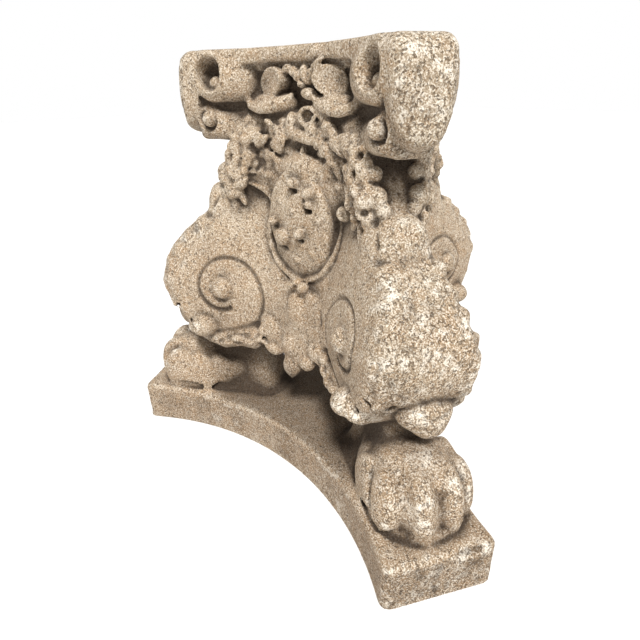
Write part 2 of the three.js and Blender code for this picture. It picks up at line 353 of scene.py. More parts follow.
lip_line = [(60, 97, 181), (60, 112, 177), (60, 138, 169), (60, 168, 162), (58, 190, 165)]
carve(rope(lip_line, [7.5, 5.5, 2.8, 2.2, 1.4]), ARMS, 4.0, BOTH)
lip_edge = [(54, 100, 158), (54, 116, 151), (53, 134, 149), (54, 156, 147), (53, 178, 150), (50, 200, 162)]
cast(rope(lip_edge, [8.0, 11.0, 8.0, 10.0, 7.5, 9.0]), ARMS, 6.0, BOTH)
fold = ((104, 160, 15, 9), (120, 153, 14, 7), (136, 156, 12, 6), (98, 172, 9, 8), (150, 149, 10, 6))
for out, height, half, tall in fold:
    cast(ball((58, out, height), (9, half, tall)), ARMS, 1.5, BOTH)
carve(rope([(62, 106, 166), (66, 116, 160), (65, 130, 161)], [2.6, 3.4, 1.8]), ARMS, 1.5, BOTH)
carve(rope([(62, 148, 162), (64, 158, 155), (60, 164, 148)], [1.5, 2.8, 1.5]), ARMS, 2.0, BOTH)

cast(ball((61, 184, 171), (17, 17, 15)), ARMS, 6.0, BOTH)
cast(ball((50, 198, 165), (17, 14, 10)), ARMS, 3.0, BOTH)
carve(rope([(71, 200, 187), (63, 204, 179), (53, 206, 172)], [1.5, 3.2, 2.2]), ARMS, 1.0, BOTH)
carve(rope([(55, 219, 197), (50, 225, 193), (44, 228, 188)], [1.5, 3.2, 1.5]), ARMS, 1.0, BOTH)
cast(ball((5, 226, 176), (30, 21, 21)), ARMS, 3.0)
cast(ball((9, 230, 165), (19, 15, 19)), ARMS, 6.0)
knob_crack = [(-30, 240, 186), (-12, 247, 181), (9, 247, 176), (30, 240, 180)]
carve(rope(knob_crack, [3.4, 2.6, 2.2, 2.8]), ARMS, 1.5)
carve(rope([(-33, 232, 190), (-28, 240, 186), (-16, 247, 183)], [6.0, 4.0, 2.0]), ARMS, 2.0)

cast(ball((0, 166, 331), (25, 17, 22)), ARMS, 9.0)
carve(ball((1, 185, 343), (13, 7, 7)), ARMS, 4.0)
carve(rope([(36, 168, 316), (27, 178, 315), (20, 184, 318)], [4.0, 2.6, 1.0]), ARMS, 4.0, BOTH)
carve(rope([(25, 150, 352), (26, 160, 340), (26, 168, 326)], 2.4), ARMS, 2.0, BOTH)

# Body and slab
# A hollow-sided core stands between the legs and carries a slab with a flat bed on top.
# The slab's edge is thin over the middle of each face, where a deep shadow is cut in under it.


def core(across, out, z):
    plan = hollow_plan(across, out, reach=110.0, half=22.0, waist=60.0, corner=12.0)
    return rounded(plan, np.abs(z - 316.0) - 168.0, 8.0)


def slab(across, out, z):
    plan = hollow_plan(across, out, reach=168.0, half=30.0, waist=77.0, corner=8.0)
    return rounded(plan, np.abs(z - 488.5) - 11.5, 4.0)


cast((core, (-112, -112, 148), (112, 112, 484)), MIDDLE, 8.0)
cast((slab, (-184, -130, 477), (184, 194, 500)), MIDDLE, 5.0)
shadow_line = [(-84, 86, 474), (-45, 80, 477), (0, 79, 478), (45, 80, 477), (84, 86, 474)]
carve(rope(shadow_line, 9.5), FACES, 3.0)

edge_chance = np.random.default_rng(12)
for chip in range(16):
    across = edge_chance.uniform(-82.0, 82.0)
    out = 79.0 + 0.0012 * across * across
    size = edge_chance.uniform(2.2, 4.6)
    lean = edge_chance.uniform(-25, 25)
    carve(ball((across, out, 477), (size * 2.2, 4.0, size), lean=lean), FACES, 2.0)
cast(rope([(22, 76, 479), (31, 80, 483), (42, 80, 489)], [4.0, 3.6, 1.4]), FACES, 2.0)
carve(rope([(30, 82, 479), (40, 82, 484), (50, 82, 487)], [1.6, 2.0, 1.0]), FACES, 1.0)

# Corners
# Each arm of the slab ends in a thick tapering plate, with two rolled scrolls behind it whose straps run
# back along the faces. The rolls are bored deep at their eyes, as a modeller presses in a thumb.


def end_plate(across, out, z):
    face = 202.5 - 8.5 * ((z - 438.0) / 62.0) ** 2
    half = np.interp(z, [404.0, 411.0, 418.0, 428.0, 442.0, 460.0, 500.0], [6, 13, 18, 22.5, 26.5, 29, 31])
    shape = rounded(np.abs(across) - half, np.abs(z - 455.5) - 44.5, 13.0)
    return np.maximum(rounded(shape, out - face, 17.0), face - 30.0 - out)


def roll(out_at, up_at, radius, half, edge):
    """A short drum lying across an arm."""

    def distance(across, out, z):
        wall = np.hypot(out - out_at, z - up_at) - radius
        return rounded(wall, np.abs(across) - half, edge)

    return (
        distance,
        np.array([-half, out_at - radius, up_at - radius]),
        np.array([half, out_at + radius, up_at + radius]),
    )


def web(across, out, z):
    plan = rounded(np.abs(across) - 20.0, np.abs(out - 130.0) - 50.0, 8.0)
    return rounded(plan, np.abs(z - 448.0) - 44.0, 8.0)


cast((end_plate, (-34, 160, 411), (34, 206, 500)), ARMS, 4.0)
cast(roll(out_at=154, up_at=474, radius=26, half=32, edge=7), ARMS, 3.0)
cast(roll(out_at=162, up_at=427, radius=17, half=26, edge=6), ARMS, 3.0)
cast((web, (-20, 80, 404), (20, 180, 492)), ARMS, 6.0)
strap_high = [(120, 96, 471), (102, 85, 471), (88, 73, 470), (80, 60, 469)]
cast(rope(strap_high, [18, 18, 17, 14], tall=1.40), FACES, 4.0, BOTH)
strap_low = [(124, 94, 423), (106, 82, 420), (90, 68, 418), (80, 56, 416)]
cast(rope(strap_low, [13, 13, 13, 11], tall=1.3), FACES, 4.0, BOTH)
carve(rope([(70, 92, 448), (100, 100, 449), (130, 112, 449)], 2.4), FACES, 3.0, BOTH)
carve(ball((38, 154, 476), (25, 16, 18)), ARMS, 3.0, BOTH)
cast(ball((20, 150, 466), (9, 9, 8)), ARMS, 2.0, BOTH)
carve(ball((30, 163, 427), (12, 13, 12.5)), ARMS, 2.0, BOTH)
cast(ball((26, 160, 429), (11, 9.5, 10)), ARMS, 2.0, BOTH)

# Cups and panel
# Under the slab two leaf cups open on each face: an oval dish turned a little outwards, over a fuller lip.
# Below them a strapwork panel fills the face, with a loop and two small leaves at its top. They were
# modelled one by one, so their edges are thin and uneven.


def dish(across, out, z):
    tilt_cos = 0.978
    tilt_sin = 0.208
    side = across - 44.0
    rise = z - 467.0
    a = (tilt_cos * side - tilt_sin * rise) / 21.0
    c = (tilt_cos * rise + tilt_sin * side) / 14.5
    near = np.sqrt(a * a + c * c)
    face = 79.0 - 0.2 * side - 3.5 * np.clip(1.0 - near * near, 0.0, 1.0)
    return rounded((near - 1.0) * 17.0, np.abs(out - face + 10.0) - 10.0, 1.5)


cast(ball((50, 66, 446), (36, 16, 12)), FACES, 4.0, BOTH)
cast((dish, (20, 50, 450), (68, 86, 484)), FACES, 1.0, BOTH)
cup_lip = [(17, 71, 454), (28, 76, 446), (44, 80, 441), (60, 82, 440), (74, 81, 443), (85, 76, 451)]
cast(rope(cup_lip, [3.0, 5.0, 6.0, 6.0, 5.0, 3.5]), FACES, 5.0, BOTH)
carve(rope([(28, 81, 452), (42, 86, 448), (60, 88, 447), (76, 84, 450)], 1.6), FACES, 1.0, BOTH)
cast(ball((3, 58, 462), (18, 8, 15)), FACES, 4.0)
crest_bits = (
    (-21, 479, 7, 5, 20), (-12, 476, 6, 6, -30), (-5, 472, 7, 6, 25), (4, 475, 6, 8, 0), (9, 468, 6, 5, -20),
    (15, 474, 7, 6, 30), (23, 479, 7, 5, -25), (29, 484, 8, 4, 35), (0, 464, 5, 4, 0),
)
for across, height, half, tall, lean in crest_bits:
    cast(ball((across, 70, height), (half, 8, tall), lean=lean), FACES, 1.0)
cast(ball((13, 74, 455), (10, 9, 6), lean=-12), FACES, 2.0)
PANEL_EDGE = [
    (-6, 438), (30, 434), (60, 430), (82, 434), (91, 422), (100, 398), (110, 376), (116, 352), (112, 338),
    (101, 331), (93, 343), (81, 351), (70, 346), (62, 336), (50, 326), (30, 326), (-6, 326),
]
panel_edge = outline(PANEL_EDGE)


def panel(across, out, z):
    face = np.interp(across, [0.0, 40.0, 60.0, 74.0, 91.0, 108.0, 120.0], [72, 74, 77, 81, 90, 98, 103])
    face = face - 0.26 * np.clip(364.0 - z, 0.0, 40.0)
    return rounded(panel_edge(across, z), np.abs(out - face + 14.0) - 14.0, 6.0)


cast((panel, (-6, 40, 326), (118, 106, 452)), FACES, 10.0, BOTH)
ring = []
for step in range(15):
    angle = 0.6 + step * 0.40
    ring.append((12 + 11.0 * math.cos(angle), 76 + step * 0.2, 434 + 8.5 * math.sin(angle)))
cast(rope(ring, 2.8), FACES, 1.0)
carve(ball((12, 80, 434), (6, 5, 4.5)), FACES, 1.0)
cast(ball((17, 75, 423), (9, 8, 7), lean=-15), FACES, 1.5)
cast(ball((-17, 73, 425), (7, 7, 14), lean=-8), FACES, 1.0)
carve(rope([(-19, 81, 434), (-17, 82, 424), (-15, 80, 415)], 1.3), FACES, 1.0)
cast(ball((-46, 69, 416), (15, 10, 16)), FACES, 4.0)
cast(ball((-35, 75, 405), (9, 7, 12), lean=-10), FACES, 1.0)
cast(rope([(24, 74, 440), (44, 77, 427), (60, 79, 408)], [4.0, 6.5, 6.0]), FACES, 2.0)
carve(rope([(40, 82, 440), (58, 84, 425), (72, 88, 410)], [1.4, 2.2, 1.4]), FACES, 1.5)

# Strapwork hood
# Over the shield hangs a worn hood of strapwork, with hollows cut in under its edge and a bulge below them.
# Little of its detail is left, so it is kept as soft lumps.
cast(ball((8, 64, 413), (36, 19, 10), lean=-6), FACES, 4.0)
cast(ball((46, 69, 398), (12, 12, 15), lean=14), FACES, 6.0)
cast(ball((0, 67, 380), (38, 18, 17)), FACES, 8.0)
hood_shadow = [(-20, 76, 402), (-8, 75, 404), (6, 74, 402), (20, 75, 399), (34, 77, 395)]
carve(rope(hood_shadow, [2.5, 5.5, 5.0, 6.0, 3.0]), FACES, 2.0)
cast(ball((1, 72, 398), (4, 6, 8)), FACES, 2.0)

# Shield
# A bed of stone fills the angle between two legs, and an oval shield lies on it inside a double rim.
# Worn bosses stand up from the field of the shield, and the stone under them is darkened with dirt and
# painted shade.


def face_out(across, z):
    """How far out the stone stands on the front face, at a place across and a height."""
    i = int(round((across - MOULD_START[0]) / CELL))
    k = int(round((z - MOULD_START[2]) / CELL))
    line = mould[i, :, k]
    first = int(np.argmax(line < 0))
    share = line[first - 1] / (line[first - 1] - line[first])
    return -(MOULD_START[1] + CELL * (first - 1 + share))


def bed(across, out, z):
    face = np.interp(z, [150.0, 200.0, 250.0, 300.0, 350.0], [86, 86, 84, 80, 75])
    edge = rounded(np.abs(across) - 42.0, np.abs(z - 262.0) - 104.0, 12.0)
    return rounded(edge, np.abs(out - face + 20.0) - 20.0, 4.0)


SHIELD_ACROSS = -3.0
SHIELD_UP = 322.0
SHIELD_HALF = 49.0
SHIELD_TALL = 59.0


def shield(across, out, z):
    a = (across - SHIELD_ACROSS) / SHIELD_HALF
    c = (z - SHIELD_UP) / SHIELD_TALL
    near = np.sqrt(a * a + c * c) + 1e-6
    edge = near * (near - 1.0) / (np.sqrt((a / SHIELD_HALF) ** 2 + (c / SHIELD_TALL) ** 2) + 1e-9)
    face = 88.0 - 5.0 * np.minimum(near, 1.4) ** 2
    return rounded(edge, np.abs(out - face + 14.0) - 14.0, 3.0)


cast((bed, (-44, 40, 156), (44, 90, 368)), FACES, 16.0)
cast((shield, (-54, 56, 262), (48, 90, 382)), FACES, 2.0)
RIM_STEPS = 36
RIM_TAPER = 8
for rim_half, rim_tall, rim_size, raised in ((57, 69, 3.6, True), (62, 74, 1.6, False), (52, 62, 1.7, False)):
    rim = []
    rim_sizes = []
    for step in range(RIM_STEPS + 1):
        angle = math.radians(163 + 214 * step / RIM_STEPS)
        across = rim_half * math.cos(angle) * (1.0 - 0.05 * math.sin(angle)) + SHIELD_ACROSS
        height = SHIELD_UP + rim_tall * math.sin(angle)
        rim.append((across, face_out(across, height) + (-0.4 if raised else 0.6), height))
        rim_sizes.append(rim_size * (0.3 + 0.7 * min(step, RIM_STEPS - step, RIM_TAPER) / RIM_TAPER))
    work = cast if raised else carve
    work(rope(rim, rim_sizes), FACES, 1.0)
boss_list = (
    (-3, 367, 8, 6.5), (20, 358, 7.5, 7), (-23, 303, 12, 11), (8, 312, 7.5, 6.5), (-39, 319, 6, 6),
    (20, 346, 6, 5), (-27, 344, 6, 5), (31, 330, 6, 8), (-4, 334, 7, 6), (22, 290, 7, 6), (-2, 278, 8, 5),
)
STANDING_BOSSES = 6
for rank, (across, height, half, tall) in enumerate(boss_list):
    face = face_out(across, height)
    if rank < STANDING_BOSSES:
        under = (across - 0.5 * half, face + 2.0, height - tall - 1.0)
        carve(ball(under, (half * 1.1, 8, 4.5), lean=-20), FACES, 2.0)
    rise = 1.5 if rank < STANDING_BOSSES else -5.5
    cast(ball((across, face + rise, height), (half, 9, tall), lean=17 * rank), FACES, 2.5)
boss_shadow = [(-34, 85, 316), (-37, 86, 304), (-30, 86, 290), (-14, 87, 284)]
carve(rope(boss_shadow, [2, 3.5, 4, 2]), FACES, 2.0)

# Hooks and swags
# Swags of fruit hang from the lower scrolls down both edges of each face, with a ribbon on one side of the
# shield and a hook on the other. The fruits are pressed balls, packed unevenly, with leaf tails below, and
# the largest stand clear with dark pits between them.
hook_out = face_out(64, 341)
cast(ball((63, hook_out + 1.0, 341), (10, 9, 9)), FACES, 1.5)
carve(ball((65, hook_out + 9.0, 342), (5, 4, 4)), FACES, 1.5)
ribbon = [(-84, 358), (-74, 354), (-66, 350), (-59, 343), (-56, 332), (-57, 318)]
ribbon = [(across, face_out(across, height) + 0.5, height) for across, height in ribbon]
cast(rope(ribbon, [2.0, 3.2, 3.2, 3.0, 2.6, 1.5]), FACES, 1.0)
ribbon_groove = [(across + 5.0, out + 0.5, height - 2.0) for across, out, height in ribbon[1:]]
carve(rope(ribbon_groove, 1.5), FACES, 1.0)
swag_line = curved([(74, 74, 418), (86, 80, 402), (97, 85, 381), (104, 89, 360), (107, 90, 340)])
swag_size = np.interp(np.linspace(0, 1, len(swag_line)), [0, 0.3, 0.7, 1], [9, 13, 16, 10])
cast(rope(swag_line, swag_size), FACES, 8.0, BOTH)
rows = np.arange(len(swag_line))
chance = np.random.default_rng(41)
bits = []
for fruit in range(46):
    row = chance.uniform(0.0, len(swag_line) - 1.0)
    middle = [np.interp(row, rows, swag_line[:, k]) for k in range(3)]
    spread = 4.0 + np.interp(row, rows, swag_size)
    size = chance.uniform(4.5, 8.5)
    across = middle[0] + chance.uniform(-1.0, 0.7) * spread
    height = middle[2] + chance.uniform(-6.0, 6.0)
    out = face_out(across, height) - size * 0.3
    bits.append(ball((across, out, height), (size, size, size * 0.95)))
for leaf in range(52):
    across = chance.uniform(26.0, 96.0)
    height = chance.uniform(372.0, 430.0) - 0.2 * (across - 34.0)
    size = chance.uniform(4.0, 7.5)
    out = face_out(across, height) - 0.5
    lean = chance.uniform(-60, 60)
    bits.append(ball((across, out, height), (size * 1.5, 3.6, size * 0.8), lean=lean))
for bit in bits:
    cast(bit, FACES, 1.0, BOTH)
big_fruits = (
    ((118, 93, 368), 11.5), ((111, 88, 388), 8.5), ((104, 94, 384), 8.5), ((103, 91, 398), 7.5),
    ((100, 90, 410), 6.5), ((91, 95, 409), 6.0), ((94, 96, 399), 6.5), ((110, 102, 363), 8.5),
    ((112, 97, 375), 6.5), ((124, 90, 357), 8.5),
)
for fruit_at, fruit_half in big_fruits:
    cast(ball(fruit_at, (fruit_half, fruit_half * 0.95, fruit_half)), FACES, 0.6, BOTH)
for pit_at, pit_radii in (
    ((95, 104, 388), (4.5, 9, 5)), ((113, 108, 354), (5, 9, 5)), ((122, 102, 346), (4, 8, 6)),
    ((99, 97, 404), (3.5, 8, 4)),
):
    carve(ball(pit_at, pit_radii), FACES, 1.0, BOTH)
slot_line = [(91, 105, 377), (92, 103, 364), (96, 102, 351), (102, 101, 340), (113, 100, 331)]
carve(rope(slot_line, [4.0, 8.5, 8.5, 6.5, 3.0]), FACES, 1.0)
leaf_tails = (((112, 98, 330), 6, 70), ((103, 94, 328), 6, 100), ((93, 90, 342), 5, 60))
for leaf_at, leaf_half, leaf_lean in leaf_tails:
    cast(ball(leaf_at, (14, 5, leaf_half), lean=leaf_lean), FACES, 2.0, BOTH)

# Leaf drop
# Below the shield a small knot holds a broad hanging leaf that fills the angle between two legs.
# Its edge is cut in uneven lobes, and the tips curl forward clear of the open space under the body.
DROP_EDGE = [
    (-14, 248), (14, 248), (34, 240), (46, 226), (54, 210), (60, 194), (62, 178), (56, 162), (46, 152),
    (38, 157), (29, 146), (16, 149), (8, 132), (-4, 119), (-14, 132), (-20, 150), (-30, 144),
    (-40, 156), (-50, 150), (-62, 164), (-64, 182), (-58, 200), (-48, 222), (-34, 240),
]
drop_edge = outline(DROP_EDGE)


def drop(across, out, z):
    face = 91.0 + (250.0 - z) * 0.10 - 0.0008 * across * across
    return rounded(drop_edge(across, z), np.abs(out - face + 22.0) - 22.0, 5.0)


cast((drop, (-64, 40, 116), (64, 108, 250)), FACES, 8.0)
for across, out, height, half in ((15, 94, 250, 7.5), (-5, 93, 247, 5.5), (5, 93, 255, 5)):
    cast(ball((across, out, height), (half, 8, half * 0.9)), FACES, 1.0)
    carve(ball((across, out + 3, height - half - 2), (half * 0.9, 5, 2.2)), FACES, 1.5)
lobes = (
    (-46, 97, 178, 21, 19, -20), (-40, 102, 154, 15, 9, -25), (-6, 102, 138, 11, 14, 8),
    (-9, 98, 166, 13, 15, 0), (22, 99, 152, 13, 11, 18), (38, 97, 172, 14, 14, 10), (2, 93, 214, 19, 24, 0),
)
for across, out, height, half, tall, lean in lobes:
    cast(ball((across, out - 1.0, height), (half, 8, tall), lean=lean), FACES, 3.0)
for vein in (
    [(40, 95, 250), (44, 97, 214), (36, 101, 180)],
    [(-15, 94, 242), (-14, 98, 218), (-24, 101, 202), (-50, 101, 198)],
    [(-20, 102, 190), (-24, 105, 172), (-20, 107, 152)],
    [(4, 102, 172), (8, 105, 160), (8, 106, 146)],
    [(-60, 101, 164), (-46, 106, 161), (-30, 106, 166)],
):
    carve(rope(vein, [2.2] + [3.4] * (len(vein) - 2) + [2.6]), FACES, 1.0)
notches = ((-22, 107, 148), (10, 107, 142), (36, 104, 154), (-58, 101, 152))
for notch in notches:
    carve(ball(notch, (3.5, 8, 6)), FACES, 2.0)

# Wear
# The edges have been knocked in places and a few air holes show where the stone was poured.
# The chips and holes stay where the photograph has them, on the front face and the near arms.
FRONT = (270,)
NEAR_ARM = (330,)
LEFT_ARM = (210,)
carve(ball((33, 80, 499), (12, 6, 5), lean=10), FRONT, 2.0)
carve(ball((-62, 86, 500), (16, 5, 3)), FRONT, 2.0)
carve(ball((2, 96, 60), (4, 4, 3)), FRONT, 1.0)
carve(ball((22, 205, 470), (9, 5, 7)), NEAR_ARM, 2.0)
carve(ball((-27, 207, 432), (7, 5, 10)), NEAR_ARM, 2.0)
carve(ball((30, 200, 498), (10, 9, 5)), LEFT_ARM, 2.0)
carve(ball((-40, 298, 56), (16, 8, 6)), LEFT_ARM, 3.0)
carve(ball((30, 300, 55), (18, 7, 7)), NEAR_ARM, 3.0)

# Cast stone
# One casting of crushed stone and cement, tamped into the mould and left outdoors for years.
# Rain has opened pores in every face it reaches and left the sheltered sides sandy; the hollows are darkened
# with dirt and painted shade.
grid = openvdb.FloatGrid(OPEN_AIR)
grid.copyFromArray(np.clip(mould, -BAND, BAND), ijk=(0, 0, 0), tolerance=0.0)
grid.transform = openvdb.createLinearTransform(CELL)
points, quads = grid.convertToQuads(isovalue=0.0)
points = points.astype(np.float64) + MOULD_START


def joined(faces, count):
    """A number for each point, the same for all points of one closed skin."""
    skin = np.arange(count)
    starts = faces.ravel()
    ends = np.roll(faces, -1, axis=1).ravel()
    while True:
        lower = np.minimum(skin[starts], skin[ends])
        changed = skin.copy()
        np.minimum.at(changed, skin[starts], lower)
        np.minimum.at(changed, skin[ends], lower)
        changed = changed[changed[changed]]
        if np.array_equal(changed, skin):
            return skin
        skin = changed


skin = joined(quads, len(points))
outer_skin = np.bincount(skin).argmax()
quads = quads[skin[quads[:, 0]] == outer_skin]
kept, quads = np.unique(quads, return_inverse=True)
points = points[kept]
quads = quads.reshape(-1, 4)


def read_at(values, places):
    """A field read between its cells."""
    spot = (places - MOULD_START) / CELL
    spot = np.clip(spot, 0.0, np.array(values.shape) - 1.001)
    base = spot.astype(int)
    share = spot - base
    total = np.zeros(len(places))
    for corner in range(8):
        step = np.array([corner & 1, corner >> 1 & 1, corner >> 2 & 1])
        weight = np.prod(np.where(step, share, 1.0 - share), axis=1)
        i, j, k = (base + step).T
        total += weight * values[i, j, k]
    return total


def facing(places):
    """The way the surface faces at each place."""
    slope = np.stack([
        read_at(mould, places + CELL * np.eye(3)[k]) - read_at(mould, places - CELL * np.eye(3)[k])
        for k in range(3)
    ], axis=1)
    return slope / np.maximum(np.linalg.norm(slope, axis=1, keepdims=True), 1e-6)


def rough(places, size, seed):
    """Even seeded noise from -1 to 1 with lumps of a size in millimetres."""
    lattice = 32
    table = np.random.default_rng(seed).uniform(-1, 1, (lattice, lattice, lattice))
    spot = places / size + 400.0
    base = np.floor(spot).astype(int)
    share = spot - base
    share = share * share * (3 - 2 * share)
    total = np.zeros(len(places))
    for corner in range(8):
        step = np.array([corner & 1, corner >> 1 & 1, corner >> 2 & 1])
        weight = np.prod(np.where(step, share, 1.0 - share), axis=1)
        i, j, k = ((base + step) % lattice).T
        total += weight * table[i, j, k]
    return total


def packed(reach):
    """How full of stone the space round each cell is, within a reach in cells."""
    share = (mould < 0).astype(np.float32)
    for axis in range(3):
        width = [(0, 0)] * 3
        width[axis] = (reach + 1, reach)
        run = np.cumsum(np.pad(share, width, mode="edge"), axis=axis, dtype=np.float32)
        length = share.shape[axis]
        after = np.take(run, np.arange(2 * reach + 1, 2 * reach + 1 + length), axis=axis)
        share = (after - np.take(run, np.arange(length), axis=axis)) / (2 * reach + 1)
    return share


def eased(value, low, high):
    """A smooth step from 0 at the low end to 1 at the high end."""
    share = np.clip((value - low) / (high - low), 0.0, 1.0)
    return share * share * (3 - 2 * share)


packed_close = packed(2)
packed_near = packed(4)
packed_wide = packed(13)
ways = facing(points)
ROOF_LOW = 4
ROOF_HIGH = 26
column = np.cumsum(np.pad(mould < 0, ((0, 0), (0, 0), (1, ROOF_HIGH))), axis=2, dtype=np.float32)
cells_up = mould.shape[2]
roof = column[:, :, ROOF_HIGH:ROOF_HIGH + cells_up] - column[:, :, ROOF_LOW:ROOF_LOW + cells_up]
roofed = roof / (ROOF_HIGH - ROOF_LOW)


def weathered(places, faces_to):
    """How much rain has reached each place, from 0 in the hollows to 1 on the open outer faces."""
    out = np.linalg.norm(places[:, :2], axis=1)
    away = places[:, :2] / np.maximum(out, 1.0)[:, None]
    open_side = eased((faces_to[:, :2] * away).sum(axis=1) + 0.35 * faces_to[:, 2], 0.25, 0.8)
    far_out = eased(out, 120.0, 200.0)
    free = 1.0 - eased(read_at(packed_wide, places), 0.42, 0.62)
    return np.clip(0.15 + 0.85 * open_side * far_out, 0, 1) * free


TOP = 500.0
rain = weathered(points, ways)
flat = eased(np.minimum(points[:, 2], TOP - points[:, 2]), 0.5, 8.0)
swell = 0.6 * rough(points, 31.0, 3) + 0.35 * rough(points, 13.0, 5)
pits = np.minimum(rough(points, 6.0, 7) + 0.25, 0.0) * 1.5 + 0.25 * rough(points, 4.5, 9)
points -= ways * (flat * (0.5 - swell * (0.5 + 0.6 * rain) - pits * (0.1 + 0.9 * rain)))[:, None]
points[:, 2] = np.clip(points[:, 2], 0.0, TOP)

mesh = bpy.data.meshes.new("cast_stone_pedestal_carved")
mesh.from_pydata((points / 1000.0).tolist(), [], quads.tolist())
carved = bpy.data.objects.new("carved_pedestal", mesh)
bpy.context.scene.collection.objects.link(carved)
TRIANGLES = 194000
thin = carved.modifiers.new("thin", "DECIMATE")
thin.ratio = TRIANGLES / (2 * len(quads))
thinned = bpy.data.meshes.new_from_object(carved.evaluated_get(bpy.context.evaluated_depsgraph_get()))
carved.modifiers.clear()
carved.data = thinned
thinned.name = "carved_pedestal"
bpy.data.meshes.remove(mesh)
cleaned = bmesh.new()
cleaned.from_mesh(thinned)
bmesh.ops.dissolve_degenerate(cleaned, dist=0.00002, edges=cleaned.edges[:])
cleaned.to_mesh(thinned)
cleaned.free()
thinned.polygons.foreach_set("use_smooth", np.ones(len(thinned.polygons), dtype=bool))

places = np.empty(len(thinned.vertices) * 3)
thinned.vertices.foreach_get("co", places)
places = places.reshape(-1, 3)
places[:, 2] = np.clip(places[:, 2], 0.0, TOP / 1000.0 - 0.0001)
thinned.vertices.foreach_set("co", places.ravel())
places = places * 1000.0
ways = facing(places)
close = read_at(packed_close, places)
near = read_at(packed_near, places)
# Dirt and painted shade darken the creases, the wider hollows, the stone under overhangs and the inner stone
# low over the plate; the plate's upright sides are darkened with painted shade.
soil_and_shade = 0.50 * eased(close, 0.54, 0.70) + 0.28 * eased(near, 0.54, 0.72)
soil_and_shade += 0.75 * eased(read_at(packed_wide, places), 0.47, 0.76)
# Painted shade and dirt under overhangs.
soil_and_shade += 0.30 * eased(read_at(roofed, places + 6.0 * ways), 0.1, 0.8)
# Painted shade and soil on the inner stone low under the body.
inwards = eased(np.hypot(places[:, 0], places[:, 1]), 210.0, 165.0)
soil_and_shade += 0.55 * inwards * eased(places[:, 2], 165.0, 125.0) * eased(places[:, 2], 52.0, 57.0)
# Painted shade: the plate's upright sides are darker than its lit top.
low_wall = 1.0 - eased(np.abs(ways[:, 2]), 0.3, 0.8)
soil_and_shade += 0.22 * low_wall * eased(places[:, 2], 56.0, 46.0)
# The dirt mark also carries painted shade, and the rubbed mark also a painted highlight on convex edges.
marks = {
    "rain": weathered(places, ways),
    "dirt_and_shade": np.clip(soil_and_shade, 0.0, 1.0),
    "rubbed_and_highlight": np.maximum(eased(close, 0.47, 0.30), 0.9 * eased(near, 0.44, 0.30)),
}
for name, values in marks.items():
    mark = thinned.attributes.new(name, "FLOAT", "POINT")
    mark.data.foreach_set("value", values.astype(np.float32))


def linear(colour):
    """A colour written as sRGB hex, as the shader wants it."""
    parts = [int(colour[k:k + 2], 16) / 255 for k in (1, 3, 5)]
    return (*[p / 12.92 if p <= 0.04045 else ((p + 0.055) / 1.055) ** 2.4 for p in parts], 1.0)


# Cast stone scatters light from broken grains, so it is dull all over, with a warm sandy body colour.
# Open pores two to four millimetres wide show as dark specks, and paler grains stand out between them.
stone = bpy.data.materials.new("weathered_cast_stone")
stone.use_nodes = True
tree = stone.node_tree
shader = tree.nodes["Principled BSDF"]
shader.inputs["Roughness"].default_value = 0.93
shader.inputs["IOR"].default_value = 1.5
shader.inputs["Specular IOR Level"].default_value = 0.3


def add(kind, settings=None, **links):
    """Adds a node to the tree in hand, and links or sets its inputs by name or number."""
    node = tree.nodes.new(kind)
    for key, value in (settings or {}).items():
        setattr(node, key, value)
    for key, value in links.items():
        socket = node.inputs[int(key[1:])] if key[0] == "i" and key[1:].isdigit() else node.inputs[key]
        if isinstance(value, bpy.types.NodeSocket):
            tree.links.new(value, socket)
        else:
            socket.default_value = value
    return node


spot = add("ShaderNodeTexCoord").outputs["Object"]
rain_mark = add("ShaderNodeAttribute", {"attribute_name": "rain"}).outputs["Fac"]
dirt_and_shade_mark = add("ShaderNodeAttribute", {"attribute_name": "dirt_and_shade"}).outputs["Fac"]
rubbed_and_highlight_mark = add("ShaderNodeAttribute", {"attribute_name": "rubbed_and_highlight"}).outputs["Fac"]


def per_mm(size):
    """A pattern's scale for features of a size in millimetres."""
    return 1000.0 / size


grit = add("ShaderNodeTexNoise", i0=spot, Scale=per_mm(1.6), Detail=2.0, Roughness=0.55).outputs["Fac"]
sand = add("ShaderNodeTexNoise", i0=spot, Scale=per_mm(6.0), Detail=3.0, Roughness=0.6).outputs["Fac"]
cloud = add("ShaderNodeTexNoise", i0=spot, Scale=per_mm(70.0), Detail=3.0, Roughness=0.55).outputs["Fac"]
worn = add(
    "ShaderNodeTexNoise", i0=spot, Scale=per_mm(2.8), Detail=2.0, Roughness=0.5, Distortion=0.5
).outputs["Fac"]
pore_edge = add("ShaderNodeMapRange", Value=rain_mark, i1=0.0, i2=1.0, i3=0.36, i4=0.405).outputs["Result"]
pore_gap = add("ShaderNodeMath", {"operation": "SUBTRACT"}, i0=worn, i1=pore_edge).outputs[0]
pore = add(
    "ShaderNodeMapRange", {"interpolation_type": "SMOOTHSTEP"},
    Value=pore_gap, i1=-0.05, i2=0.035, i3=1.0, i4=0.0,
).outputs["Result"]

